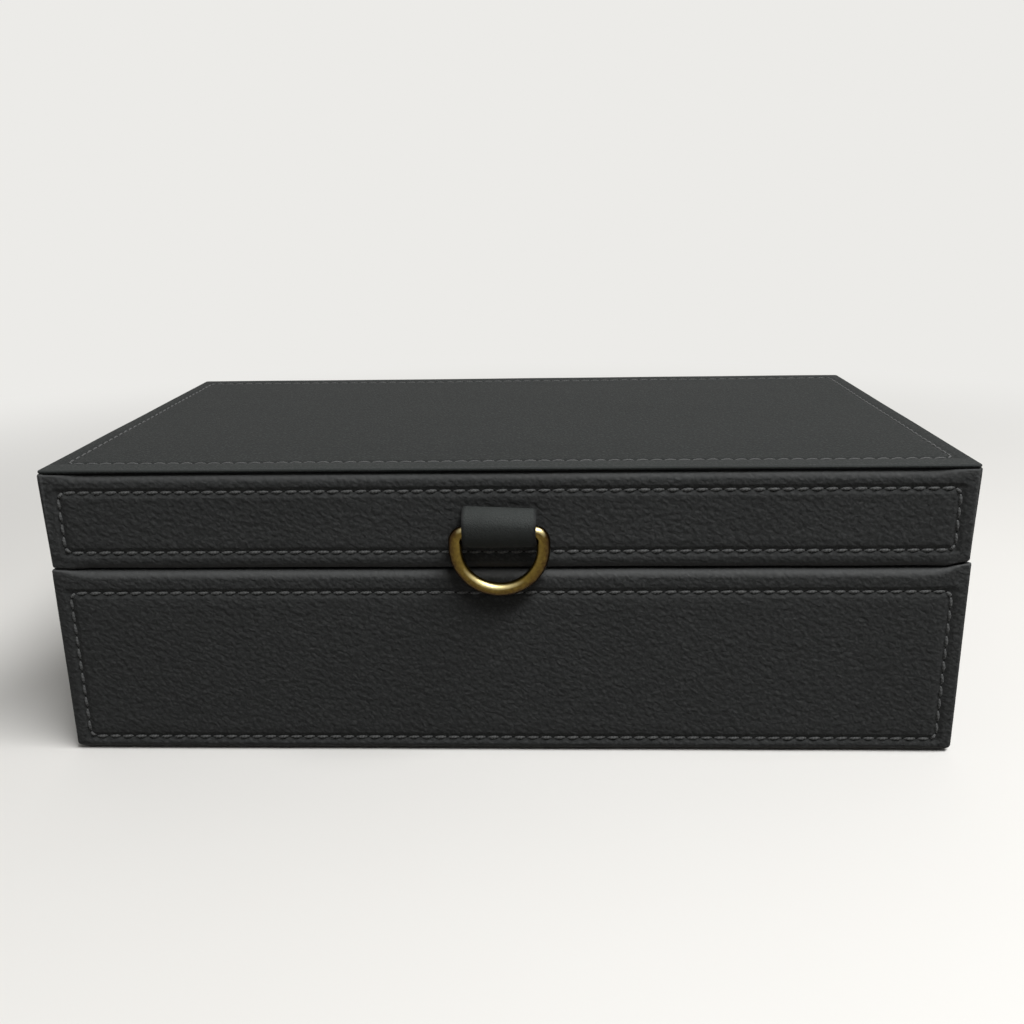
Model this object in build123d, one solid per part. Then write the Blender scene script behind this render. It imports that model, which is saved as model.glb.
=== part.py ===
from build123d import *

import os

# Stationery box: a leather-covered tray and hinged lid with a strap loop and a D-ring pull.
#
# Millimetres. +Z is up, -Y is the front, +X is the right as seen from the front.
# The origin is the centre of the felt underside, where the box rests on a table.
# The tray is the fixed body. The lid turns on two brass stop hinges at the back,
# and the D-ring swings in its strap on the front of the lid.

# ---------------------------------------------------------------- whole box
box_width = 300.0  # tray, outside of its leather, along X
box_depth = 172.0  # tray, outside of its leather, along Y
box_height = 100.0  # closed box, felt to top leather
rim_height = 65.6  # table to the tray's leather rim
lid_gap = 0.4  # air between the two rims when the lid is shut
lid_inset = 0.4  # the lid's front and sides stand this far inside the tray's

# ---------------------------------------------------------------- leather and boards
leather = 1.2  # leather with its backing
corner_radius = 1.4  # upright edges, outside of the leather
rim_roll = 2.8  # rounding of the leather where it turns over the rims
tray_end_roll = 1.8  # rounding of the leather along the tray's underside
lid_end_roll = 2.8  # rounding of the leather under the lid's top sheet
mouth_roll = 0.9  # rounding of the leather where it turns down inside the rims
wall_board = 6.0
floor_board = 5.0
top_board = 4.0
wall_rabbet = 3.0  # how deep the side walls sit in the front and back walls
turn_in = 14.0  # leather turned in over the closed end
turn_down = 12.0  # leather turned down inside the rim
felt_sheet = 0.8
felt_inset = 4.0
top_leather = 1.4  # folded-edge leather sheet on the lid
top_leather_roll = 0.65
top_leather_inset = 0.1

# ---------------------------------------------------------------- lining
lining_card = 1.8
lining_drop = 1.0  # the cards stop this far short of the rim
lining_fit = 0.2
floor_pad = 4.0
lid_pad = 3.0
pad_fit = 0.4
pad_round = 1.2
pad_corner = 1.5

# ---------------------------------------------------------------- stop hinges
hinge_from_side = 58.0  # the tray's side to the middle of the nearer hinge
hinge_length = 30.0
leaf_sheet = 1.3
leaf_reach = 7.0  # leaf on the rim, forward from the back face
barrel_radius = 1.9
barrel_stand_off = 0.1  # back face to the barrel
hinge_pin_radius = 1.0
hinge_pin_fit = 0.05
knuckle_gap = 0.2
knuckle_length = 10.0  # the lid's middle knuckle
open_angle = 95.0
stop_slack = 0.6  # degrees left between the stop flanges at full opening
flange_sheet = 1.0
flange_reach = 6.0
flange_clearance = 0.3  # between a flange and the other leaf's knuckles
leaf_trim = 0.2  # leather cut back round the leaf

# ---------------------------------------------------------------- hinge screws
screw_offset = 10.0  # from the middle of a hinge to each screw
screw_shank_radius = 0.9
screw_head_radius = 1.7
screw_head_height = 0.8
screw_length = 8.0
screw_fit = 0.05
screw_slot_width = 0.45
screw_slot_depth = 0.4
screw_slot_length = 2.0

# ---------------------------------------------------------------- D-ring and strap
pull_offset = -1.0  # the strap was set a little left of the middle
ring_wire_radius = 2.1
ring_inside_width = 24.2
ring_corner_radius = 2.9  # centreline, where the bar turns into the bow
ring_side_length = 2.35  # straight stretch below each corner
ring_seam = 0.3  # butted wire ends, inside the strap
bar_rise = 13.95  # the lid's rim to the middle of the ring's bar
strap_width = 23.6
strap_sheet = 1.2
strap_loop_fit = 0.25  # bar to leather
strap_loop_drop = 1.5  # how much lower the loop hangs than tight round the bar
strap_rise = 5.85  # the ring's bar to the middle of the slot in the lid's front
strap_slot_fit = 0.1

# ---------------------------------------------------------------- derived places
lid_rim = rim_height + lid_gap
lid_high = box_height - top_leather
lid_width = box_width - 2 * lid_inset
lid_depth = box_depth - lid_inset
lid_middle_y = lid_inset / 2
tray_back = box_depth / 2
lid_front = lid_middle_y - lid_depth / 2

hinge_offset = box_width / 2 - hinge_from_side
hinge_axis_y = tray_back + barrel_stand_off + barrel_radius
hinge_axis_z = (rim_height + lid_rim) / 2
screw_y = tray_back - leather - wall_board / 2

bar_y = lid_front - strap_sheet - strap_loop_fit - ring_wire_radius
bar_height = lid_rim + bar_rise
strap_slot_height = bar_height + strap_rise


def slab(x_range, y_range, z_range):
    """A block between two corners, given as (low, high) along each axis."""
    middle = [sum(span) / 2 for span in (x_range, y_range, z_range)]
    size = [abs(span[1] - span[0]) for span in (x_range, y_range, z_range)]
    return Pos(*middle) * Box(*size)


def centred(width, depth, z_range, middle_y=0.0):
    """A block centred on X and on middle_y."""
    y_range = (middle_y - depth / 2, middle_y + depth / 2)
    return slab((-width / 2, width / 2), y_range, z_range)


def rounded(width, depth, z_range, middle_y, corner, low_roll, high_roll):
    """A centred block with rounded upright edges, and rounded edges below and above."""
    block = centred(width, depth, z_range, middle_y)
    block = fillet(block.edges().filter_by(Axis.Z), corner)
    if low_roll > 0:
        block = fillet(block.faces().sort_by(Axis.Z)[0].edges(), low_roll)
    if high_roll > 0:
        block = fillet(block.faces().sort_by(Axis.Z)[-1].edges(), high_roll)
    return block


def rolled_section(width, z_range, low_roll, high_roll):
    """An upright rectangle with rounded lower and upper corners, drawn about its own middle."""
    section = Rectangle(width, z_range[1] - z_range[0])
    low, high = section.vertices().group_by(Axis.Y)
    if low_roll > 0:
        section = fillet(low, low_roll)
        high = section.vertices().group_by(Axis.Y)[-1]
    if high_roll > 0:
        section = fillet(high, high_roll)
    return section


def rolled(width, depth, z_range, middle_y, corner, low_roll, high_roll):
    """A centred block whose long edges are rolled and whose rolls are mitred at the upright corners."""
    block = centred(width, depth, z_range, middle_y)
    if corner > 0:
        block = fillet(block.edges().filter_by(Axis.Z), corner)
    middle_z = sum(z_range) / 2
    along_x = Plane((0, middle_y, middle_z), x_dir=(0, 1, 0), z_dir=(1, 0, 0))
    along_y = Plane((0, middle_y, middle_z), x_dir=(1, 0, 0), z_dir=(0, -1, 0))
    front_roll = along_x * rolled_section(depth, z_range, low_roll, high_roll)
    side_roll = along_y * rolled_section(width, z_range, low_roll, high_roll)
    block &= extrude(front_roll, amount=width, both=True)
    return block & extrude(side_roll, amount=depth, both=True)


class Case:
    """The tray or the lid: a board box in a leather wrap, open at its rim and closed at its far end."""

    def __init__(self, width, depth, middle_y, rim_z, end_z, end_board, end_roll):
        self.width, self.depth, self.middle_y = width, depth, middle_y
        self.rim_z, self.end_z, self.end_board = rim_z, end_z, end_board
        self.end_roll = end_roll
        self.up = 1.0 if rim_z > end_z else -1.0  # from the closed end towards the rim
        self.board_rim = rim_z - self.up * leather
        self.board_end = end_z + self.up * leather
        self.inner_width = width - 2 * (leather + wall_board)
        self.inner_depth = depth - 2 * (leather + wall_board)
        self.lined_width = self.inner_width - 2 * leather
        self.lined_depth = self.inner_depth - 2 * leather
        self.floor_z = self.board_end + self.up * end_board
        self.lining_rim = rim_z - self.up * lining_drop

    def filling(self, width, depth, z_range):
        """A block in the middle of the case."""
        return centred(width, depth, z_range, self.middle_y)

    def block(self, inset=0.0):
        """The solid rolled envelope, this far inside the leather's outside."""
        ends = sorted((self.rim_z - self.up * inset, self.end_z + self.up * inset))
        rim, end = max(rim_roll - inset, 0.0), max(self.end_roll - inset, 0.0)
        rolls = (end, rim) if self.up > 0 else (rim, end)
        width, depth = self.width - 2 * inset, self.depth - 2 * inset
        corner = max(corner_radius - inset, 0.0)
        return rolled(width, depth, ends, self.middle_y, corner, *rolls)

    def window_fill(self):
        """The sheet that fills the window between the turned-in edges at the closed end."""
        span = (self.end_z, self.board_end)
        return self.filling(self.width - 2 * turn_in, self.depth - 2 * turn_in, span)

    def wrap(self):
        """Leather over the four sides, turned down inside the rim and in under the closed end."""
        leg_end = self.board_rim - self.up * turn_down
        mouth = self.filling(self.lined_width, self.lined_depth, (self.rim_z, leg_end))
        leg = self.filling(self.inner_width, self.inner_depth, (self.board_rim, leg_end))
        wrap = self.block() - self.block(leather) + leg - mouth - self.window_fill()
        rim = wrap.faces().sort_by(Axis.Z)[-1 if self.up > 0 else 0]
        return fillet(rim.inner_wires().edges(), mouth_roll)

    def walls(self):
        """Four boards: the side walls sit in rabbets cut in the front and back walls."""
        span = (self.board_rim, self.board_end)
        ring = self.block(leather) - self.filling(self.inner_width, self.inner_depth, span)
        inner_x, inner_y = self.inner_width / 2, self.inner_depth / 2
        outer_x, outer_y = inner_x + wall_board, inner_y + wall_board
        middle, rabbet = self.middle_y, inner_y + wall_rabbet
        sides_y = (middle - rabbet, middle + rabbet)
        left = ring & slab((-outer_x, -inner_x), sides_y, span)
        right = ring & slab((inner_x, outer_x), sides_y, span)
        front = ring & slab((-outer_x, outer_x), (middle - outer_y, middle - inner_y), span)
        back = ring & slab((-outer_x, outer_x), (middle + inner_y, middle + outer_y), span)
        return {
            "front_wall": front - left - right,
            "back_wall": back - left - right,
            "left_wall": left,
            "right_wall": right,
        }

    def end_panel(self):
        """The floor of the tray, or the top board of the lid, between the walls."""
        return self.filling(self.inner_width, self.inner_depth, (self.board_end, self.floor_z))

    def linings(self):
        """Four suede-covered cards that stand on the end board against the turned-down leather."""
        span = (self.floor_z, self.lining_rim)
        half_x, half_y = self.lined_width / 2, self.lined_depth / 2
        long_x = half_x - lining_fit
        short_y = half_y - lining_card - lining_fit
        front_y, back_y = self.middle_y - half_y, self.middle_y + half_y
        sides_y = (self.middle_y - short_y, self.middle_y + short_y)
        return {
            "front_lining": slab((-long_x, long_x), (front_y, front_y + lining_card), span),
            "back_lining": slab((-long_x, long_x), (back_y - lining_card, back_y), span),
            "left_lining": slab((-half_x, -half_x + lining_card), sides_y, span),
            "right_lining": slab((half_x - lining_card, half_x), sides_y, span),
        }

    def pad(self, thickness):
        """The suede pad that lies on the end board between the lining cards."""
        span = sorted((self.floor_z, self.floor_z + self.up * thickness))
        rolls = (0.0, pad_round) if self.up > 0 else (pad_round, 0.0)
        edge = 2 * (lining_card + pad_fit)
        width, depth = self.lined_width - edge, self.lined_depth - edge
        return rounded(width, depth, span, self.middle_y, pad_corner, *rolls)


# ---------------------------------------------------------------- hinges


def hinge_places(piece):
    """The same piece at the left and the right hinge."""
    left, right = Pos(-hinge_offset, 0, 0) * piece, Pos(hinge_offset, 0, 0) * piece
    return {"left": left, "right": right}


def hinge_bar(radius, x_range):
    """A cylinder on the hinge axis between two places along X."""
    length = x_range[1] - x_range[0]
    middle = sum(x_range) / 2
    return Pos(middle, hinge_axis_y, hinge_axis_z) * Rot(0, 90, 0) * Cylinder(radius, length)


def knuckle_spans():
    """Where the lid's middle knuckle and the tray's two outer knuckles lie along X."""
    half, middle = hinge_length / 2, knuckle_length / 2
    outer = [(-half, -middle - knuckle_gap), (middle + knuckle_gap, half)]
    return [(-middle, middle)], outer


def stop_flange(up, own_spans, other_spans):
    """The flange behind the barrel: it meets its partner when the lid is fully open."""
    half = hinge_length / 2
    free = barrel_radius + flange_clearance
    root = (hinge_pin_radius + barrel_radius) / 2
    sheet = (0.0, flange_sheet)
    plate = slab((-half, half), (root, flange_reach), sheet)
    for low, high in other_spans:
        plate -= slab((low - knuckle_gap, high + knuckle_gap), (0, free), sheet)
    for span in own_spans:
        plate += slab(span, (root, flange_reach), sheet)
    placed = Rot((open_angle + stop_slack) / 2, 0, 0) * plate
    if up < 0:
        placed = mirror(placed, Plane.XY)
    return Pos(0, hinge_axis_y, hinge_axis_z) * placed


def screw(up, seat_z, clearance=0.0):
    """One countersunk screw whose head lies flush with the leaf, seat_z being the leaf's outer face."""
    hung = (Align.CENTER, Align.CENTER, Align.MAX)
    shank_radius, head_radius = screw_shank_radius + clearance, screw_head_radius + clearance
    body = Cone(shank_radius, head_radius, screw_head_height, align=hung)
    body += Cylinder(shank_radius, screw_length + clearance, align=hung)
    if not clearance:
        for turn in (0, 90):
            slot = Box(screw_slot_length, screw_slot_width, 2 * screw_slot_depth)
            body -= Rot(0, 0, turn) * slot
    if up < 0:
        body = Rot(180, 0, 0) * body
    return Pos(0, screw_y, seat_z) * body


def hinge_leaf(up, board_z):
    """One leaf: a plate screwed to the board's edge, its knuckles, and its stop flange.

    up is +1 for the tray's leaf, which lies on a board below it, and -1 for the lid's.
    """
    middle_spans, outer_spans = knuckle_spans()
    own, other = (outer_spans, middle_spans) if up > 0 else (middle_spans, outer_spans)
    half = hinge_length / 2
    outer_face = board_z + up * leaf_sheet
    plate_z = sorted((board_z, outer_face))
    plate = slab((-half, half), (tray_back - leaf_reach, hinge_axis_y), plate_z)
    notch_y = hinge_axis_y - barrel_radius - knuckle_gap
    for low, high in other:
        plate -= slab((low - knuckle_gap, high + knuckle_gap), (notch_y, hinge_axis_y), plate_z)
    for span in own:
        plate += hinge_bar(barrel_radius, span)
    plate += stop_flange(-up, own, other)
    for span in own:
        plate -= hinge_bar(hinge_pin_radius + hinge_pin_fit, span)
    for x in (-screw_offset, screw_offset):
        plate -= Pos(x, 0, 0) * screw(up, outer_face, screw_fit)
    return plate


def hinge_screws(up, board_z, clearance=0.0):
    """The four screws of the tray's or the lid's two leaves, or their pilot holes with a clearance."""
    one = screw(up, board_z + up * leaf_sheet, clearance)
    pair = Part() + [Pos(x, 0, 0) * one for x in (-screw_offset, screw_offset)]
    return Part() + [*hinge_places(pair).values()]


def leaf_cut(rim_z, board_z):
    """Leather cut away where a leaf lies on the board and where the barrel passes."""
    half = hinge_length / 2 + leaf_trim
    front_y = tray_back - leaf_reach - leaf_trim
    one = slab((-half, half), (front_y, tray_back), (rim_z, board_z))
    return Part() + [*hinge_places(one).values()]


# ---------------------------------------------------------------- pull


def d_ring():
    """A wire bent to a D: bar in the strap, tight corners, short sides and a half-round bow."""
    half = ring_inside_width / 2 + ring_wire_radius
    corner_x = half - ring_corner_radius
    side_top = -ring_corner_radius
    bow_z = side_top - ring_side_length
    seam = ring_seam / 2
    right_bar = Line((seam, 0), (corner_x, 0))
    right_corner = CenterArc((corner_x, side_top), ring_corner_radius, 90, -90)
    right_side = Line((half, side_top), (half, bow_z))
    bow = CenterArc((0, bow_z), half, 0, -180)
    left_side = Line((-half, bow_z), (-half, side_top))
    left_corner = CenterArc((-corner_x, side_top), ring_corner_radius, 180, -90)
    left_bar = Line((-corner_x, 0), (-seam, 0))
    flat = Wire([right_bar, right_corner, right_side, bow, left_side, left_corner, left_bar])
    section = Plane((seam, 0, 0), z_dir=(1, 0, 0)) * Circle(ring_wire_radius)
    ring = sweep(section, path=flat)
    return Pos(pull_offset, bar_y, bar_height) * Rot(90, 0, 0) * ring


def strap_outline(loop_radius):
    """One face of the folded strap, seen from the side as (Y, Z) edges round the ring's bar.

    It leaves the slot level, drops in an arc, turns round the bar and comes back up the lid's front.
    """
    layer = loop_radius - ring_wire_radius - strap_loop_fit
    lead_y = lid_front - strap_sheet
    front_y, back_y = bar_y - loop_radius, bar_y + loop_radius
    bend = lead_y - front_y
    bend_z = strap_slot_height + layer - bend
    turn_z = bar_height - strap_loop_drop
    return [
        CenterArc((lead_y, bend_z), bend, 90, 90),
        Line((front_y, bend_z), (front_y, turn_z)),
        CenterArc((bar_y, turn_z), loop_radius, 180, 180),
        Line((back_y, turn_z), (back_y, strap_slot_height - layer)),
    ]


def ring_strap():
    """A leather strip folded round the ring's bar, both ends glued in the slot of the lid's front."""
    inside = ring_wire_radius + strap_loop_fit
    outer = strap_outline(inside + strap_sheet)
    tail_y = lid_front + leather + wall_board
    high_z, low_z = strap_slot_height + strap_sheet, strap_slot_height - strap_sheet
    tail = Polyline(outer[-1] @ 1, (tail_y, low_z), (tail_y, high_z), outer[0] @ 0)
    side = make_face(Wire([*outer, *tail.edges()])) - make_face(Wire(strap_outline(inside)))
    upright = Plane((pull_offset - strap_width / 2, 0, 0), x_dir=(0, 1, 0), z_dir=(1, 0, 0))
    return extrude(upright * side, amount=strap_width)


def strap_slot():
    """The slot for the strap's two layers, through the leather and the front wall."""
    wide = strap_width / 2 + strap_slot_fit
    tall = strap_sheet + strap_slot_fit
    x_range = (pull_offset - wide, pull_offset + wide)
    z_range = (strap_slot_height - tall, strap_slot_height + tall)
    return slab(x_range, (lid_front, lid_front + leather + wall_board), z_range)


# ---------------------------------------------------------------- assembly


def tray_pieces():
    """Every piece that stays on the table."""
    case = Case(box_width, box_depth, 0.0, rim_height, felt_sheet, floor_board, tray_end_roll)
    boards = {**case.walls(), **case.linings()}
    pieces = {f"base_{name}": board for name, board in boards.items()}
    pieces["base_back_wall"] -= hinge_screws(case.up, case.board_rim, screw_fit)
    pieces["base_leather_wrap"] = case.wrap() - leaf_cut(case.rim_z, case.board_rim)
    pieces["base_floor_board"] = case.end_panel()
    pieces["base_infill_card"] = case.window_fill()
    pieces["base_floor_pad"] = case.pad(floor_pad)
    felt_width, felt_depth = box_width - 2 * felt_inset, box_depth - 2 * felt_inset
    pieces["base_felt"] = rounded(
        felt_width, felt_depth, (0.0, felt_sheet), 0.0, corner_radius, 0.0, 0.0
    )
    pieces["base_hinge_screws"] = hinge_screws(case.up, case.board_rim)
    for side, leaf in hinge_places(hinge_leaf(case.up, case.board_rim)).items():
        pieces[f"hinge_{side}_base_leaf"] = leaf
    pin = hinge_bar(hinge_pin_radius, (-hinge_length / 2, hinge_length / 2))
    for side, placed in hinge_places(pin).items():
        pieces[f"hinge_{side}_pin"] = placed
    return pieces


def lid_pieces():
    """Every piece that turns with the lid."""
    case = Case(lid_width, lid_depth, lid_middle_y, lid_rim, lid_high, top_board, lid_end_roll)
    boards = {**case.walls(), **case.linings()}
    pieces = {f"lid_{name}": board for name, board in boards.items()}
    pieces["lid_front_wall"] -= strap_slot()
    pieces["lid_back_wall"] -= hinge_screws(case.up, case.board_rim, screw_fit)
    pieces["lid_leather_wrap"] = (
        case.wrap() - leaf_cut(case.rim_z, case.board_rim) - strap_slot()
    )
    pieces["lid_top_board"] = case.end_panel()
    pieces["lid_top_padding"] = case.window_fill()
    top_width, top_depth = lid_width - 2 * top_leather_inset, lid_depth - 2 * top_leather_inset
    top_z, top_roll = (lid_high, box_height), top_leather_roll
    pieces["lid_top_leather"] = rounded(
        top_width, top_depth, top_z, lid_middle_y, corner_radius, top_roll, top_roll
    )
    pieces["lid_pad"] = case.pad(lid_pad)
    pieces["lid_hinge_screws"] = hinge_screws(case.up, case.board_rim)
    for side, leaf in hinge_places(hinge_leaf(case.up, case.board_rim)).items():
        pieces[f"hinge_{side}_lid_leaf"] = leaf
    pieces["ring_strap"] = ring_strap()
    return pieces


def main():
    os.makedirs("parts", exist_ok=True)
    pieces = {**tray_pieces(), **lid_pieces(), "d_ring": d_ring()}
    for name, piece in pieces.items():
        export_step(piece, f"parts/{name}.step")


main()
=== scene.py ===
"""Stationery box: black pebbled leather over boards, tone-on-tone stitching and an antique brass D-ring.

Metres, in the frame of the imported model: +Z up, -Y the front, the origin under the middle of the box.
"""

import math

import bmesh
import bpy
import numpy as np
from mathutils import Matrix, Vector, noise


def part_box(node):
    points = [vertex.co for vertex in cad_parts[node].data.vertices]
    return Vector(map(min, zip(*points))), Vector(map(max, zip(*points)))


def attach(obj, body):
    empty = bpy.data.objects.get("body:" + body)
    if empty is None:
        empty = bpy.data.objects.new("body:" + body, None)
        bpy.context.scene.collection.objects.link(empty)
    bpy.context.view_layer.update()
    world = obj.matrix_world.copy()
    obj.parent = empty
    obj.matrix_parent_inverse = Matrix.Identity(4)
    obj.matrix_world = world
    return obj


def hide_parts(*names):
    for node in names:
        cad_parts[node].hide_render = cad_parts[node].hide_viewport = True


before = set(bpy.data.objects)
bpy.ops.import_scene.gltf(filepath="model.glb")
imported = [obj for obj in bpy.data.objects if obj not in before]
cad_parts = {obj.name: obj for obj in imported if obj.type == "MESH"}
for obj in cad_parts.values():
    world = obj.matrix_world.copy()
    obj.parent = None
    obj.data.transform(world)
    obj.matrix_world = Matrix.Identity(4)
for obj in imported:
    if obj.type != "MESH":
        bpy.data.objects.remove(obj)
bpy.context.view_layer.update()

MM = 0.001

# ------------------------------------------------------------------ sizes from the frame
TRAY_LOW, TRAY_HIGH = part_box("base_leather_wrap")
LID_LOW, LID_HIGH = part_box("lid_leather_wrap")
TOP_LOW, TOP_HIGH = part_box("lid_top_leather")
STRAP_LOW, STRAP_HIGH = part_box("ring_strap")
RING_LOW, RING_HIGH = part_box("d_ring")
LEAF_LOW, LEAF_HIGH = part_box("hinge_right_base_leaf")

# ------------------------------------------------------------------ leather, as it is cut and turned
LEATHER = 1.2 * MM
WALL = 6.0 * MM
CORNER = 1.4 * MM
RIM_ROLL = 2.8 * MM
TRAY_END_ROLL = 1.8 * MM
LID_END_ROLL = 2.8 * MM
MOUTH_ROLL = 0.9 * MM
FLESH_CORNER = 0.2 * MM
TURN_IN = 14.0 * MM
TURN_DOWN = 12.0 * MM
TOP_ROLL = 0.5 * MM
TOP_SKIVE = 0.4 * MM
TOP_SKIVE_REACH = 1.6 * MM
LEAF_REACH = 7.0 * MM
LEAF_TRIM = 0.2 * MM
CORNER_FULLNESS = 12.0
CORNER_REACH = 5.0 * MM
TRAY_RIM_FULLNESS = 0.85
RIM_LIFT = 0.3 * MM
RIM_LIFT_DEPTH = 5.0 * MM
RIM_LIFT_HEIGHT = 8.0 * MM
RIM_CORNER_LIFTS = np.array([2.3, 0.0, 0.0, 0.8]) * MM
RIM_CORNER_REACH = 4.5 * MM
LID_FLARE = 0.8 * MM
TOP_FLARE = 0.5 * MM
TOP_FLARE_REACH = 12.0 * MM
# Painted light: how much lighter the top's front band is coloured, where the padded top catches more light.
TOP_FRONT_PAINTED_LIGHT = 0.45
TOP_CROWN = 0.25 * MM
TOP_CROWN_REACH = 30.0 * MM
BACK_SEAM_DEPTH = 0.3 * MM
BACK_SEAM_WIDTH = 0.4 * MM
MITRE_DEPTH = 0.25 * MM
SLOT_DIP = 0.3 * MM
SLOT_DIP_REACH = 1.3 * MM
COARSE = 4.0 * MM
SHARP_LEATHER = 50.0

# ------------------------------------------------------------------ stitching
STITCH_PITCH = 4.5 * MM
THREAD_LENGTH = 3.9 * MM
THREAD_RADIUS = 0.54 * MM
THREAD_RISE = 0.16 * MM
THREAD_SINK = 0.4 * MM
THREAD_SLANT = math.radians(4.0)
THREAD_TURNS = 4.0
# The flat near-black discs that paint the shade inside the awl holes.
AWL_HOLE = 0.3 * MM
AWL_HOLE_FLATNESS = 0.22
AWL_HOLE_SINK = 0.02 * MM
TOP_THREAD_SHARE = 0.6
STITCH_SIDE_MARGIN = 5.5 * MM
STITCH_CORNER = 1.7 * MM
TRAY_ROWS = (5.0 * MM, 58.0 * MM)
LID_ROWS = (72.0 * MM, 92.5 * MM)
TOP_FRONT_MARGIN = 9.3 * MM
TOP_BACK_MARGIN = 8.5 * MM
DIP_DEPTH = 0.42 * MM
DIP_WIDTH = 1.1 * MM
TOP_DIP_SHARE = 0.35

# ------------------------------------------------------------------ strap and ring
STRAP_SHEET = 1.2 * MM
STRAP_EDGE = 0.42 * MM
STRAP_SLOT_FIT = 0.1 * MM
STRAP_TUCK = 0.9 * MM
STRAP_HEEL = 1.3 * MM
TAIL_PARTING = 0.02 * MM
STRAP_TILT = math.radians(2.4)
STRAP_SPREAD = 0.2 * MM
STRAP_BELLY = 0.45 * MM
WIRE = 2.1 * MM
WIRE_FULL = 2.2 * MM
WIRE_DENTS = 0.05 * MM
RING_CORNER = 3.2 * MM
RING_SIDE = 2.05 * MM
RING_SEAM = 0.3 * MM
# Painted highlight, partly wear: the way the wire faces where its brass is painted lighter, up and to the
# front towards the lamp.
WEAR_AND_HIGHLIGHT_AT = Vector((0.14, -0.77, 0.62)).normalized()
BAR = Vector(((RING_LOW.x + RING_HIGH.x) / 2, (RING_LOW.y + RING_HIGH.y) / 2, RING_HIGH.z - WIRE))
SLOT_Z = BAR.z + 5.85 * MM

# ------------------------------------------------------------------ pads
PAD_THIN = 0.7 * MM
PAD_OVER = 0.3 * MM
PAD_CORNER = 1.5 * MM
PAD_EDGE = 1.2 * MM
SWELL_FRAMES = 20
SWELL = {
    "quality": 6, "mass": 0.2, "tension_stiffness": 12.0, "compression_stiffness": 12.0,
    "shear_stiffness": 4.0, "bending_stiffness": 0.4, "use_pressure": True, "uniform_pressure_force": 4.0,
}

# ------------------------------------------------------------------ room, lamp and camera
ROOM_TONE = (236, 235, 232)
FLOOR_TONE = (230, 228, 224)
BOUNCE_TONE = (84, 82, 79)
ROOM_FILL = 0.125
ROOM_FILL_BEHIND = 0.6
FLOOR_RADIUS = 6.0
FLOOR_FADE = (0.24, 0.8)
LAMP_WATTS = 19.4
LAMP_SIZE = (1.1, 0.3)
LAMP_PLACE = Vector((0.48, -0.45, 1.16))
LAMP_AIM = Vector((0, 0, 0.05))
CAMERA_PLACE = Vector((0.01606, -0.4025, 0.1813))
CAMERA_YAW, CAMERA_PITCH, CAMERA_ROLL = (math.radians(angle) for angle in (-2.335, 16.81, -0.970))
CAMERA_LENS, CAMERA_SENSOR = 36.42, 36.0


# ------------------------------------------------------------------ mesh helpers
def near(distance, reach):
    """1 at no distance, fading softly over this reach."""
    return np.exp(-((distance / reach) ** 2))


def fade(distance, reach):
    """1 at no distance, 0 from this reach on."""
    return np.clip(1 - distance / reach, 0, 1)


def spaced(low, high, coarse, marks=(), fine=0.35 * MM, reach=2.0 * MM):
    """Places from low to high, coarse apart, but fine apart within reach of each mark."""
    zones = []
    for mark in sorted(marks):
        start, end = max(mark - reach, low), min(mark + reach, high)
        if start >= end:
            continue
        if zones and start <= zones[-1][1]:
            zones[-1][1] = end
        else:
            zones.append([start, end])
    cuts = [low, *(cut for zone in zones for cut in zone), high]
    places = [low]
    for index, (start, end) in enumerate(zip(cuts, cuts[1:])):
        step = fine if index % 2 else coarse
        count = max(1, math.ceil((end - start) / step - 1e-6))
        if end - start > 1e-9:
            places += list(np.linspace(start, end, count + 1)[1:])
    return np.array(places)


class Loop:
    """The columns of a shell that runs round a rectangle with rounded corners, seen from above."""

    CORNER_STEPS = 6

    def __init__(self, low, high, corner, coarse, x_marks=(), y_marks=()):
        self.corner, self.middle_y = corner, (low.y + high.y) / 2
        half_x, half_y = (high.x - low.x) / 2, (high.y - low.y) / 2
        flat_x, flat_y = half_x - corner, half_y - corner
        self.x_places = spaced(-flat_x, flat_x, coarse, x_marks)
        self.y_places = spaced(-flat_y, flat_y, coarse, y_marks)
        rows = []
        for side, places in enumerate(
            (self.x_places, self.y_places, -self.x_places[::-1], -self.y_places[::-1])
        ):
            straight = flat_y if side % 2 else flat_x
            rows += [(side, place / straight, 0.0) for place in places]
            rows += [(side, 1.0, k / self.CORNER_STEPS) for k in range(1, self.CORNER_STEPS)]
        self.side, self.share, self.turn = (np.array(column) for column in zip(*rows))
        self.front_or_back = self.side % 2 == 0
        self.half = np.where(self.front_or_back, half_x, half_y)
        self.other_half = np.where(self.front_or_back, half_y, half_x)

    def to_corner(self):
        """How far each column is from the nearest upright corner."""
        return np.where(self.turn > 0, 0.0, (1 - np.abs(self.share)) * (self.half - self.corner))

    def nearest_corner(self):
        """Which corner each column is nearest: front right, back right, back left, front left."""
        return np.where((self.turn > 0) | (self.share > 0), self.side, self.side - 1) % 4

    def ring(self, inset, radius):
        """X, Y of each column and its outward direction, this far inside and with this corner radius."""
        angle = self.turn * math.pi / 2
        local_x = self.share * (self.half - inset - radius) + radius * np.sin(angle)
        local_y = -(self.other_half - inset - radius) - radius * np.cos(angle)
        cos, sin = np.cos(self.side * math.pi / 2), np.sin(self.side * math.pi / 2)
        out_x, out_y = np.sin(angle), -np.cos(angle)
        place = np.stack([cos * local_x - sin * local_y, sin * local_x + cos * local_y], 1)
        out = np.stack([cos * out_x - sin * out_y, sin * out_x + cos * out_y], 1)
        return place + (0.0, self.middle_y), out


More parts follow.
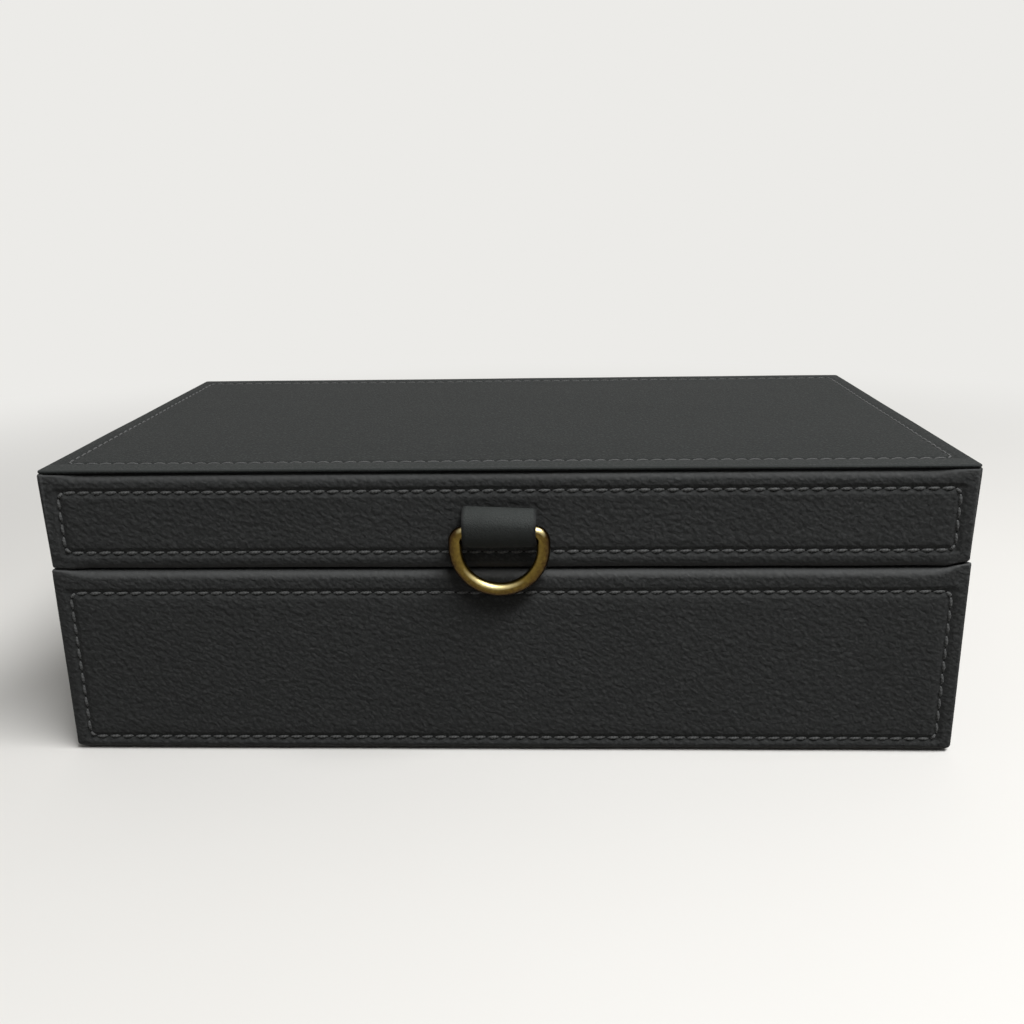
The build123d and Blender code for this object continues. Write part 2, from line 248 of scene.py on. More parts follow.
def grid_faces(rows, columns, close_rows=True, close_columns=True, first=0):
    """Quads between neighbouring rows and columns of a grid of vertices."""
    faces = []
    for i in range(rows if close_rows else rows - 1):
        for j in range(columns if close_columns else columns - 1):
            k, m = (i + 1) % rows, (j + 1) % columns
            corners = (i * columns + j, i * columns + m, k * columns + m, k * columns + j)
            faces.append(tuple(first + corner for corner in corners))
    return faces


def capped_faces(rows, columns):
    """The faces of a tube of this many rows, with a cap at each end."""
    caps = [tuple(range(columns)), tuple(range((rows - 1) * columns, rows * columns))]
    return grid_faces(rows, columns, close_rows=False) + caps


def slab_grid(loop, sections):
    """Points and faces of a closed slab: the (inset, Z) rows round its sides, then its two flat faces."""
    points = []
    for inset, z in sections:
        place, _ = loop.ring(inset, max(loop.corner - inset, 0.0))
        points += [(*at, z) for at in place]
    faces = grid_faces(len(sections), len(loop.side), close_rows=False)
    for z in (sections[0][1], sections[-1][1]):
        first = len(points)
        points += [(x, y + loop.middle_y, z) for y in loop.y_places for x in loop.x_places]
        faces += grid_faces(len(loop.y_places), len(loop.x_places), False, False, first)
    return np.array(points), faces


def waviness(points, size, depth, seed):
    """A soft unevenness at each point, the same each run."""
    shift = Vector((seed * 1.7, seed * 3.1, seed * 5.3))
    flat = np.reshape(points, (-1, 3)) / size
    values = [noise.noise(Vector(p) + shift) for p in flat]
    return np.reshape(values, np.shape(points)[:-1]) * depth


def new_piece(name, mesh):
    piece = bpy.data.objects.new(name, mesh)
    bpy.context.scene.collection.objects.link(piece)
    return piece


def write_mesh(work, mesh, smooth_angle=None):
    """Writes a bmesh into a mesh, smooth but for edges sharper than an angle where one is given."""
    work.to_mesh(mesh)
    work.free()
    smooth(mesh, smooth_angle)
    return mesh


def smooth(mesh, angle):
    if angle is not None:
        mesh.shade_smooth()
        mesh.set_sharp_from_angle(angle=math.radians(angle))


def shell(name, points, faces, smooth_angle, **masks):
    """A closed piece from points and faces, doubles merged, faces outward, with masks on its points."""
    mesh = bpy.data.meshes.new(name)
    mesh.from_pydata(np.reshape(points, (-1, 3)).tolist(), [], faces)
    for key, values in masks.items():
        layer = mesh.attributes.new(key, "FLOAT", "POINT")
        layer.data.foreach_set("value", np.ravel(values).astype(np.float32))
    work = bmesh.new()
    work.from_mesh(mesh)
    bmesh.ops.remove_doubles(work, verts=work.verts, dist=1e-6)
    bmesh.ops.dissolve_degenerate(work, edges=work.edges, dist=1e-7)
    bmesh.ops.recalc_face_normals(work, faces=work.faces)
    return new_piece(name, write_mesh(work, mesh, smooth_angle))


def plain_mesh(piece):
    """The mesh that a piece's modifiers give."""
    bpy.context.view_layer.update()
    graph = bpy.context.evaluated_depsgraph_get()
    return bpy.data.meshes.new_from_object(piece.evaluated_get(graph))


def settle(piece, smooth_angle=None):
    """Turns a piece's modifiers into plain mesh."""
    mesh, old = plain_mesh(piece), piece.data
    piece.modifiers.clear()
    piece.data = mesh
    bpy.data.meshes.remove(old)
    smooth(mesh, smooth_angle)
    return piece


def block_work(low, high):
    """A bmesh of one block between two corners."""
    work = bmesh.new()
    bmesh.ops.create_cube(work, size=1.0)
    place = Matrix.Translation((low + high) / 2) @ Matrix.Diagonal((*(high - low), 1.0))
    bmesh.ops.transform(work, matrix=place, verts=work.verts)
    return work


def cutter(low, high):
    """A plain block for cutting with."""
    work = block_work(Vector(low), Vector(high))
    return new_piece("cutter", write_mesh(work, bpy.data.meshes.new("cutter")))


def cut_away(piece, cutters):
    """Cuts blocks out of a closed piece."""
    for block in cutters:
        modifier = piece.modifiers.new("cut", "BOOLEAN")
        modifier.operation, modifier.solver = "DIFFERENCE", "EXACT"
        modifier.object = block
    settle(piece, SHARP_LEATHER)
    for block in cutters:
        bpy.data.meshes.remove(block.data)


def frame_distance(along, up, half, low, high):
    """Distance to a rectangle's outline, less than nothing inside it."""
    aside = np.abs(along) - half
    above = np.abs(up - (low + high) / 2) - (high - low) / 2
    outside = np.hypot(np.maximum(aside, 0), np.maximum(above, 0))
    return outside + np.minimum(np.maximum(aside, above), 0)


def pulled_in(distance):
    """How far stitching pulls leather in at this distance from its line, with a slight swell beside it."""
    swell = 0.45 * near(np.abs(distance) - 1.9 * DIP_WIDTH, 0.8 * DIP_WIDTH)
    return DIP_DEPTH * (near(distance, DIP_WIDTH) - swell)


# ------------------------------------------------------------------ leather wraps
def wrap_section(height, end_roll, marks, full_end, full_rim):
    """The wrap's section from its turned-in edge round to its flesh side.

    Each row is (inset, height above the closed end, corner radius, outward, towards the rim, skin), and
    for a roll also the radius from which it is drawn out to a fuller bend at the corners. full_end and
    full_rim are the shares of that bend, from 0 for a round roll to 1.
    """
    rows = []

    def run(start, end, facing, steps=1, corners=(CORNER, CORNER), skin=1, heights=None):
        """Rows along a straight stretch, both ends included."""
        shares = np.linspace(0, 1, steps + 1)
        if heights is not None:
            shares = (heights - start[1]) / (end[1] - start[1])
        for share in shares:
            at = [a + (b - a) * share for a, b in zip((*start, corners[0]), (*end, corners[1]))]
            rows.append((*at, *facing, skin, 0.0))

    def arc(middle, radius, start, end, steps, corners=(CORNER, CORNER), skin=1, full=1.0):
        """Rows round an arc, without its ends."""
        for share in np.linspace(0, 1, steps + 1)[1:-1]:
            angle = math.radians(start + (end - start) * share)
            out, up = math.cos(angle), math.sin(angle)
            corner = corners[0] + (corners[1] - corners[0]) * share
            sign = 1.0 if skin else -1.0
            at = (middle[0] - radius * out, middle[1] + radius * up, corner)
            rows.append((*at, sign * out, sign * up, skin, radius * full if skin and out >= 0 else 0.0))

    depth = WALL + 2 * LEATHER
    top, under, leg = height - RIM_ROLL, height - LEATHER, height - LEATHER - TURN_DOWN
    mouth, mouth_z = depth - MOUTH_ROLL, height - MOUTH_ROLL
    flesh = {"corners": (FLESH_CORNER, FLESH_CORNER), "skin": 0}
    run((TURN_IN, 0), (end_roll, 0), (0, -1), 4)
    arc((end_roll, end_roll), end_roll, -90, 0, 7, full=full_end)
    run((0, end_roll), (0, top), (1, 0), heights=spaced(end_roll, top, COARSE, marks))
    arc((RIM_ROLL, top), RIM_ROLL, 0, 90, 9, full=full_rim)
    run((RIM_ROLL, height), (mouth, height), (0, 1), 4, (CORNER, 2 * MOUTH_ROLL))
    arc((mouth, mouth_z), MOUTH_ROLL, 90, 180, 5, (2 * MOUTH_ROLL, MOUTH_ROLL))
    run((depth, mouth_z), (depth, leg), (-1, 0), 3, (MOUTH_ROLL, 2 * FLESH_CORNER))
    run((depth - LEATHER, leg), (depth - LEATHER, under), (1, 0), **flesh)
    run((depth - LEATHER, under), (RIM_ROLL, under), (0, -1), **flesh)
    arc((RIM_ROLL, top), RIM_ROLL - LEATHER, 90, 0, 4, **flesh)
    run((LEATHER, top), (LEATHER, end_roll), (-1, 0), 3, **flesh)
    arc((end_roll, end_roll), end_roll - LEATHER, 0, -90, 4, **flesh)
    run((end_roll, LEATHER), (TURN_IN, LEATHER), (0, 1), **flesh)
    return rows


def leather_wrap(name, low, high, up, end_roll, stitch_rows, slot=((), ())):
    """One case's leather: four sides, rolled and turned down at the rim, turned in at the closed end."""
    height, end_z = high.z - low.z, low.z if up > 0 else high.z
    column_x, column_y = ((high[i] - low[i]) / 2 - STITCH_SIDE_MARGIN for i in (0, 1))
    loop = Loop(low, high, CORNER, COARSE, (-column_x, 0.0, column_x, *slot[0]), (-column_y, column_y))
    full_end, full_rim = (0.0, TRAY_RIM_FULLNESS) if up > 0 else (1.0, 1.0)
    marks = [up * (z - end_z) for z in (*stitch_rows, *slot[1])]
    rows = wrap_section(height, end_roll, marks, full_end, full_rim)

    points = np.zeros((len(rows), len(loop.side), 3))
    facing = np.zeros_like(points)
    skin, flat, upright, rolled = np.zeros((4, *points.shape[:2]))
    bend = 2 / (2 + CORNER_FULLNESS * near(loop.to_corner(), CORNER_REACH))
    at_corner = near(loop.to_corner(), RIM_CORNER_REACH)
    raised = RIM_CORNER_LIFTS[loop.nearest_corner()] * at_corner
    raised += RIM_LIFT * (1 - at_corner) if up < 0 else 0.0
    for i, (inset, rise, corner, out, lift, is_skin, roll) in enumerate(rows):
        fuller_in = inset + roll * (out - abs(out) ** bend)
        fuller_rise = rise + roll * math.copysign(1, lift) * (abs(lift) ** bend - abs(lift))
        place, outward = loop.ring(fuller_in, corner)
        outer = fade(fuller_in, RIM_LIFT_DEPTH)
        near_rim = fade(np.maximum(height - RIM_ROLL / 2 - fuller_rise, 0), RIM_LIFT_HEIGHT)
        lifted = raised * is_skin * (outer * near_rim) ** 2
        points[i, :, :2], points[i, :, 2] = place, end_z + up * fuller_rise + lifted
        facing[i, :, :2], facing[i, :, 2] = outward * out, up * lift
        skin[i], flat[i], upright[i] = is_skin, abs(lift), is_skin * max(out, 0.0)
        # painted highlight, partly wear: lighter colour on the rolls where they face halfway between out and
        # up, and a little wear on the upright corners
        rolled[i] = np.maximum(2 * abs(out * lift), 0.25 * np.sin(math.pi * loop.turn) * is_skin)

    x, z = points[..., 0].copy(), points[..., 2].copy()
    along = np.where(loop.front_or_back, x, points[..., 1] - loop.middle_y)
    distance = frame_distance(along, z, loop.half - STITCH_SIDE_MARGIN, *stitch_rows)
    seam = (loop.side == 2) * near(x, BACK_SEAM_WIDTH)
    depth = skin * waviness(points, 34 * MM, 0.14 * MM, 3.0 if up > 0 else 8.0)
    depth -= pulled_in(distance) * upright
    if up < 0:
        depth += LID_FLARE * upright * np.clip((z - low.z) / height, 0, 1) * (loop.side % 2)
    depth -= MITRE_DEPTH * skin * (flat > 0.99) * np.sin(math.pi * loop.turn) ** 2
    depth -= BACK_SEAM_DEPTH * skin * seam
    if slot[0]:
        (left, right), slot_rows = slot
        away = frame_distance(x - (left + right) / 2, z, (right - left) / 2, *slot_rows)
        depth -= SLOT_DIP * upright * (loop.side == 0) * near(np.maximum(away, 0), SLOT_DIP_REACH)
    points += facing * depth[..., None]
    pull = np.maximum(near(distance, 1.1 * DIP_WIDTH) * upright, seam * skin)
    return shell(name, points, grid_faces(*points.shape[:2]), SHARP_LEATHER, rolled=rolled, pulled=pull)


def hinge_cutters(up):
    """Blocks that clear the leather where the two leaves lie on the board's edge."""
    rim = TRAY_HIGH.z if up > 0 else LID_LOW.z
    low_z, high_z = sorted((rim + up * 2 * MM, rim - up * (LEATHER + 0.01 * MM)))
    reach = TRAY_HIGH.y - LEAF_REACH - LEAF_TRIM
    half = (LEAF_HIGH.x - LEAF_LOW.x) / 2 + LEAF_TRIM
    middle = (LEAF_LOW.x + LEAF_HIGH.x) / 2
    return [cutter((x - half, reach, low_z), (x + half, LEAF_HIGH.y, high_z)) for x in (-middle, middle)]


def top_sheet(name, low, high):
    """The folded-edge leather sheet on the lid, its middle a little crowned over the wadding."""
    half_x, half_y = (high.x - low.x) / 2, (high.y - low.y) / 2
    side, front, back = half_x - STITCH_SIDE_MARGIN, -half_y + TOP_FRONT_MARGIN, half_y - TOP_BACK_MARGIN
    loop = Loop(low, high, CORNER, COARSE, (-side, side), (front, back))
    rim = low.z + TOP_SKIVE
    sections = [(CORNER, rim, 0.0, -1.0)]
    for start, end, middle_z in ((-90, 0, rim + TOP_ROLL), (0, 90, high.z - TOP_ROLL)):
        for angle in np.radians(np.linspace(start, end, 6)):
            out, lift = math.cos(angle), math.sin(angle)
            sections.append((TOP_ROLL * (1 - out), middle_z + TOP_ROLL * lift, out, lift))
    sections.append((CORNER, high.z, 0.0, 1.0))
    points, faces = slab_grid(loop, [section[:2] for section in sections])
    _, outward = loop.ring(0.0, CORNER)
    facing = [np.c_[outward * out, np.full(len(outward), lift)] for _, _, out, lift in sections]
    flat = (len(loop.x_places) * len(loop.y_places), 1)
    facing = np.concatenate([*facing, np.tile((0.0, 0.0, -1.0), flat), np.tile((0.0, 0.0, 1.0), flat)])

    x, y = points[:, 0].copy(), points[:, 1] - loop.middle_y
    edge = np.minimum(half_x - CORNER - np.abs(x), half_y - CORNER - np.abs(y))
    points[:, 2] -= TOP_SKIVE * (facing[:, 2] < -0.99) * np.clip(edge / TOP_SKIVE_REACH, 0, 1)
    up = np.maximum(facing[:, 2], 0)
    # painted light: the top's front band coloured lighter
    front_band = np.clip((front - y) / (2 * MM), 0, 1) * up
    rolled = 2 * np.abs(np.hypot(facing[:, 0], facing[:, 1]) * facing[:, 2])
    distance = frame_distance(x, y, side, front, back)
    crown = np.clip(-distance / TOP_CROWN_REACH, 0, 1)
    depth = TOP_CROWN * crown * crown * (3 - 2 * crown) - TOP_DIP_SHARE * pulled_in(distance)
    depth += waviness(points, 45 * MM, 0.16 * MM, 5.0)
    points += facing * (depth * up)[:, None]
    near_side = fade(half_x - np.abs(points[:, 0]), TOP_FLARE_REACH)
    near_front = 0.5 - (points[:, 1] - loop.middle_y) / (2 * half_y)
    points[:, 0] += np.sign(points[:, 0]) * TOP_FLARE * near_side * near_front
    pull = near(distance, 1.1 * DIP_WIDTH) * up
    rolled = np.maximum(rolled, TOP_FRONT_PAINTED_LIGHT * front_band)
    return shell(name, points, faces, SHARP_LEATHER, rolled=rolled, pulled=pull)


# ------------------------------------------------------------------ strap, ring, cards and pads
def joined_path(*stretches):
    """One path from stretches of (Y, Z) points, without the points that repeat."""
    path = [Vector(stretches[0][0])]
    for stretch in stretches:
        path += [Vector(point) for point in stretch if (Vector(point) - path[-1]).length > 1e-6]
    return path


def arc_points(middle, radius, start, end, steps, rise=None):
    """Points round an arc, or round part of an ellipse where the rise is given too."""
    angles = np.radians(np.linspace(start, end, steps + 1))
    rise = radius if rise is None else rise
    return [(middle[0] + radius * math.cos(a), middle[1] + rise * math.sin(a)) for a in angles]


def line_points(start, end, steps):
    return [tuple(a + (b - a) * k / steps for a, b in zip(start, end)) for k in range(steps + 1)]


def strap_middle_line():
    """The middle of the strap's sheet, seen from the side: out of the slot, round the bar and back."""
    layer = STRAP_SHEET / 2
    front, back, tail = STRAP_LOW.y + layer - STRAP_BELLY, LID_LOW.y - layer, STRAP_HIGH.y
    lead = LID_LOW.y - STRAP_SHEET
    upper, lower = SLOT_Z + layer + TAIL_PARTING, SLOT_Z - layer - TAIL_PARTING
    bottom = STRAP_LOW.z + layer - STRAP_BELLY
    bend = lead - front
    shoulder = 0.7 * bend
    sag = upper - shoulder - bottom
    seat = back - STRAP_HEEL
    heel = bottom + STRAP_HEEL
    return joined_path(
        line_points((tail, upper), (lead, upper), 6),
        arc_points((lead, upper - shoulder), bend, 90, 180, 16, shoulder),
        arc_points((seat, bottom + sag), seat - front, 180, 270, 17, sag),
        arc_points((seat, heel), STRAP_HEEL, 270, 360, 12),
        line_points((back, heel), (back, lower - STRAP_TUCK), 6),
        arc_points((back + STRAP_TUCK, lower - STRAP_TUCK), STRAP_TUCK, 180, 90, 5),
        line_points((back + STRAP_TUCK, lower), (tail, lower), 5),
    )


def rounded_strip(half, thick, edge, across=26):
    """The strip's section as (across, away, cut edge): flat faces, and edges rounded over."""
    section = []
    flats = np.linspace(half - edge, -half + edge, across + 1)[1:-1]
    corners = ((half, thick, 90), (half, -thick, 0), (-half, -thick, -90), (-half, thick, 180))
    for wide, deep, start in corners:
        middle = (wide - math.copysign(edge, wide), deep - math.copysign(edge, deep))
        section += [(*point, 1.0) for point in arc_points(middle, edge, start, start - 90, 5)]
        if start == 0:
            section += [(place, -thick, 0.0) for place in flats]
    return section + [(place, thick, 0.0) for place in flats[::-1]]


def strap_piece(name):
    """The leather strip folded round the ring's bar, a little askew, its cut edges rounded over."""
    path = strap_middle_line()
    half = (STRAP_HIGH.x - STRAP_LOW.x) / 2
    section = rounded_strip(half, STRAP_SHEET / 2, STRAP_EDGE)
    points, painted = [], []
    for i, spot in enumerate(path):
        tangent = (path[min(i + 1, len(path) - 1)] - path[max(i - 1, 0)]).normalized()
        outward = Vector((tangent.y, -tangent.x))
        askew = min(max((spot.y - BAR.z) / (SLOT_Z - STRAP_SHEET - BAR.z), 0.0), 1.0)
        free = min(max((LID_LOW.y - spot.x) / (2 * MM), 0.0), 1.0)
        for across, away, cut_edge in section:
            spread = STRAP_SPREAD * askew * (across / half + 1.0) / 2
            x = BAR.x + across * (0.99 + 0.01 * askew) + spread
            crown = 0.1 * MM * (1.0 - (across / half) ** 2)
            bumps = noise.noise(Vector((x, spot.x, spot.y)) / (6 * MM)) * 0.12 * MM
            out = away + (crown + bumps) * free
            z = spot.y + outward.y * out - math.tan(STRAP_TILT) * (x - BAR.x) * askew
            points.append((x, spot.x + outward.x * out, z))
            painted.append(cut_edge)
    return shell(name, points, capped_faces(len(path), len(section)), 60.0, painted=painted)


def ring_path():
    """The wire's middle line, (X, Z) from one butted end round the D to the other."""
    half = (RING_HIGH.x - RING_LOW.x) / 2 - WIRE
    corner, top, seam = half - RING_CORNER, -RING_CORNER, RING_SEAM / 2
    bow = top - RING_SIDE
    flat = joined_path(
        line_points((seam, 0.0), (corner, 0.0), 5),
        arc_points((corner, top), RING_CORNER, 90, 0, 10),
        line_points((half, top), (half, bow), 2),
        arc_points((0.0, bow), half, 0, -180, 64),
        line_points((-half, bow), (-half, top), 2),
        arc_points((-corner, top), RING_CORNER, 180, 90, 10),
        line_points((-corner, 0.0), (-seam, 0.0), 5),
    )
    return [Vector((BAR.x + p.x, BAR.y, BAR.z + p.y)) for p in flat]


def tube(name, path, radius, around, dents):
    """A wire of round section along a path in the X, Z plane, its two ends closed and slightly rounded.

    One attribute is 1 on the outside of the bends and behind, where shade is painted darker;
    the other is 1 where the wire faces up and to the front, where a highlight is painted lighter, partly
    standing for where fingers hook in and pull.
    """
    points, sheltered, polished = [], [], []
    side = Vector((0, 1, 0))
    middle, last = sum(path, Vector()) / len(path), len(path) - 1
    steps = [(0, 0.55), (0, 0.85), *((i, 1.0) for i in range(len(path))), (last, 0.85), (last, 0.55)]
    for i, share in steps:
        tangent = (path[min(i + 1, last)] - path[max(i - 1, 0)]).normalized()
        across = side.cross(tangent).normalized()
        away = (path[i] - middle).normalized()
        for turn in np.linspace(0, 2 * math.pi, around, endpoint=False):
            outward = across * math.cos(turn) + side * math.sin(turn)
            spot = path[i] + outward * radius * share
            points.append(spot + outward * noise.noise(spot / (5 * MM)) * dents)
            # painted shade: darker on the outside of the bends and behind
            sheltered.append(min(max(0.5 + 0.75 * outward.dot(away + 0.15 * side), 0.0), 1.0))
            # painted highlight, partly wear: lighter where the wire faces up and to the front, towards the
            # lamp
            polished.append(min(max((outward.dot(WEAR_AND_HIGHLIGHT_AT) - 0.87) / 0.12, 0.0), 1.0))
    faces = capped_faces(len(steps), around)
    return shell(name, points, faces, 60.0, sheltered=sheltered, polished=polished)


def covered_card(name, node, edge=0.55 * MM):
    """A card wrapped in suede: its edges rounded and its faces very slightly uneven."""
    low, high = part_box(node)
    size = high - low
    work = block_work(low, high)
    bmesh.ops.bevel(work, geom=work.edges[:], offset=edge, segments=4, profile=0.5, affect="EDGES")
    for axis in range(3):
        if size[axis] > 10 * MM:
            for cut in np.arange(low[axis] + 8 * MM, high[axis] - 4 * MM, 8 * MM):
                spot, normal = Vector((0, 0, 0)), Vector((0, 0, 0))
                spot[axis], normal[axis] = cut, 1.0
                geom = work.verts[:] + work.edges[:] + work.faces[:]
                bmesh.ops.bisect_plane(work, geom=geom, plane_co=spot, plane_no=normal)
    thin = min(range(3), key=lambda axis: size[axis])
    middle = (low[thin] + high[thin]) / 2
    for vert in work.verts:
        lift = noise.noise(vert.co / (26 * MM)) * 0.06 * MM - 0.04 * MM
        vert.co[thin] += math.copysign(lift, vert.co[thin] - middle)
    return new_piece(name, write_mesh(work, bpy.data.meshes.new(name), 50.0))


def soft_slab(name, low, high, side, thin, edge, corner, step):
    """A closed slab of wadding or foam, its laid side flat and the other rolled over at the edges.

    side is +1 where the rolled side faces up. thin is how much it starts below its full thickness.
    """
    loop = Loop(low, high, corner, step)
    laid, crest = (low.z, high.z) if side > 0 else (high.z, low.z)
    crest -= side * thin
    edge = min(edge, abs(crest - laid) - 0.2 * MM)
    sections = [(corner, laid), (0.0, laid), (0.0, (laid + crest - side * edge) / 2)]
    for angle in np.radians(np.linspace(0, 90, 5)):
        drop = side * edge * (1 - math.sin(angle))
        sections.append((edge * (1 - math.cos(angle)), crest - drop))
    sections.append((corner, crest))
    return shell(name, *slab_grid(loop, sections), 60.0), laid


def swell(pad, laid, cap):
    """Lets air into a pad whose laid side is glued down, and keeps it within cap of where it started."""
    start = np.array([v.co for v in pad.data.vertices])
    glued = pad.vertex_groups.new(name="glued")
    glued.add([i for i, co in enumerate(start) if abs(co[2] - laid) < 0.3 * MM], 1.0, "REPLACE")
    cloth = pad.modifiers.new("swell", "CLOTH")
    for setting, value in SWELL.items():
        setattr(cloth.settings, setting, value)
    cloth.settings.effector_weights.gravity = 0.0
    cloth.settings.vertex_group_mass = glued.name
    cloth.point_cache.frame_start, cloth.point_cache.frame_end = 1, SWELL_FRAMES
    scene = bpy.context.scene
    for number in range(1, SWELL_FRAMES + 1):
        scene.frame_set(number)
    mesh = plain_mesh(pad)
    step = np.array([v.co for v in mesh.vertices]) - start
    bpy.data.meshes.remove(mesh)
    pad.modifiers.remove(cloth)
    scene.frame_set(1)
    reach = np.linalg.norm(step, axis=1)
    step *= (np.tanh(reach / cap) * cap / np.maximum(reach, 1e-9))[:, None]
    pad.data.vertices.foreach_set("co", (start + step).astype(np.float32).ravel())
    pad.data.update()


def pad_piece(name, node, side):
    """A thin suede-covered pad, swollen between its glued-down side and its edges."""
    pad, laid = soft_slab(name, *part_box(node), side, PAD_THIN, PAD_EDGE, PAD_CORNER, COARSE)
    swell(pad, laid, PAD_THIN + PAD_OVER)
    finer = pad.modifiers.new("finer", "SUBSURF")
    finer.levels = finer.render_levels = 1
    settle(pad)
    pad.data.shade_smooth()
    return pad


# ------------------------------------------------------------------ node helpers
OBJECT, MATERIAL, GEOMETRY = "NodeSocketObject", "NodeSocketMaterial", "NodeSocketGeometry"
SOCKET_OF = {float: "NodeSocketFloat", int: "NodeSocketInt", tuple: "NodeSocketVector"}
FAMILIES = {
    "ShaderNodeTree": ("ShaderNode", ""),
    "GeometryNodeTree": ("GeometryNode", "FunctionNode", "ShaderNode", ""),
}


class Value:
    """A node's output that can be reckoned with: each step adds a Math or a Vector Math node."""

    def __init__(self, graph, socket):
        self.graph, self.socket = graph, socket
        self.is_vector = socket.type in ("VECTOR", "RGBA")

    def __getitem__(self, output):
        """Another output of the same node."""
        return Value(self.graph, self.socket.node.outputs[output])

    def __add__(self, other):
        return self.graph.math("ADD", self, other)

    def __sub__(self, other):
        return self.graph.math("SUBTRACT", self, other)

    def __rsub__(self, other):
        return self.graph.math("SUBTRACT", other, self)

    def __mul__(self, other):
        if self.is_vector and not getattr(other, "is_vector", False):
            return self.graph.add("VectorMath", Vector=self, Scale=other, operation="SCALE")
        return self.graph.math("MULTIPLY", self, other)

    def __truediv__(self, other):
        if self.is_vector:
            return self * self.graph.math("DIVIDE", 1.0, other)
        return self.graph.math("DIVIDE", self, other)


class Graph:
    """A node tree that is built by naming each node's inputs and settings."""

    def __init__(self, tree):
        self.tree = tree

    def add(self, kind, *values, **named):
        """A new node, as its first output.

        Values go to its inputs in order, where None leaves one alone. A name with a capital is an
        input, with _ for each space, and any other name is one of the node's own settings.
        """
        family = next(f for f in FAMILIES[self.tree.bl_idname] if hasattr(bpy.types, f + kind))
        node = self.tree.nodes.new(family + kind)
        for name in [name for name in named if name[0].islower()]:
            setattr(node, name, named.pop(name))
        for socket, value in zip(node.inputs, values):
            self.feed(socket, value)
        self.feed_named(node, named)
        return Value(self, node.outputs[0])

    def feed(self, socket, value):
        if isinstance(value, Value):
            self.tree.links.new(value.socket, socket)
        elif value is not None:
            socket.default_value = value

    def feed_named(self, node, named):
        for name, value in named.items():
            self.feed(node.inputs[name.replace("_", " ")], value)

    def give(self, **outputs):
        """Feeds a group's outputs, and gives its tree."""
        self.feed_named(self.tree.nodes.new("NodeGroupOutput"), outputs)
        return self.tree

    def math(self, operation, *values):
        kind = "VectorMath" if getattr(values[0], "is_vector", False) else "Math"
        return self.add(kind, *values, operation=operation)

    def object_place(self):
        return self.add("TexCoord")["Object"]

    def ranged(self, value, low, high):
        """A value from 0 to 1 spread over another range."""
        return self.add("MapRange", value, To_Min=low, To_Max=high)

    def limited(self, value):
        """A value kept from 0 to 1."""
        return self.math("MINIMUM", self.math("MAXIMUM", value, 0.0), 1.0)

    def stored(self, geometry, name, value, **settings):
        return self.add("StoreNamedAttribute", Geometry=geometry, Name=name, Value=value, **settings)

    def attribute(self, name, data_type="FLOAT_VECTOR"):
        return self.add("InputNamedAttribute", Name=name, data_type=data_type)


def new_group(name, kind, inputs, outputs, output_type=SOCKET_OF[float]):
    """A node group as its graph and its inputs, each named with a default value or a socket type."""
    tree = bpy.data.node_groups.new(name, kind)
    for label, default in inputs.items():
        socket_type = SOCKET_OF.get(type(default), default)
        socket = tree.interface.new_socket(label, in_out="INPUT", socket_type=socket_type)
        if socket_type is not default:
            socket.default_value = default
    for label in outputs:
        tree.interface.new_socket(label, in_out="OUTPUT", socket_type=output_type)
    graph = Graph(tree)
    return graph, graph.add("NodeGroupInput")


# ------------------------------------------------------------------ stitches
def thread_of_one_stitch(graph, given):
    """One stitch: a plump thread that rises out of one hole and dives into the next."""
    half = given["Thread length"] * 0.5
    sunk = given["Sink"] * -1.0
    start, end = (graph.add("CombineXYZ", X=x, Z=sunk) for x in (half * -1.0, half))
    middle = graph.add("CombineXYZ", Z=given["Rise"] * 2.0 + given["Sink"])
    line = graph.add("CurveQuadraticBezier", Resolution=7, Start=start, Middle=middle, End=end)
    along = graph.add("SplineParameter")["Factor"]
    plump = graph.math("POWER", graph.math("SINE", along * math.pi), 0.5) * 0.5 + 0.5
    wire = graph.add("CurvePrimitiveCircle", Resolution=6, Radius=given["Thread radius"])
    line = graph.stored(line, "thread_along", along)
    wire = graph.stored(wire, "thread_around", along)
    mesh = graph.add("CurveToMesh", Curve=line, Profile_Curve=wire, Scale=plump, Fill_Caps=True)
    return graph.add("SetShadeSmooth", Geometry=mesh)


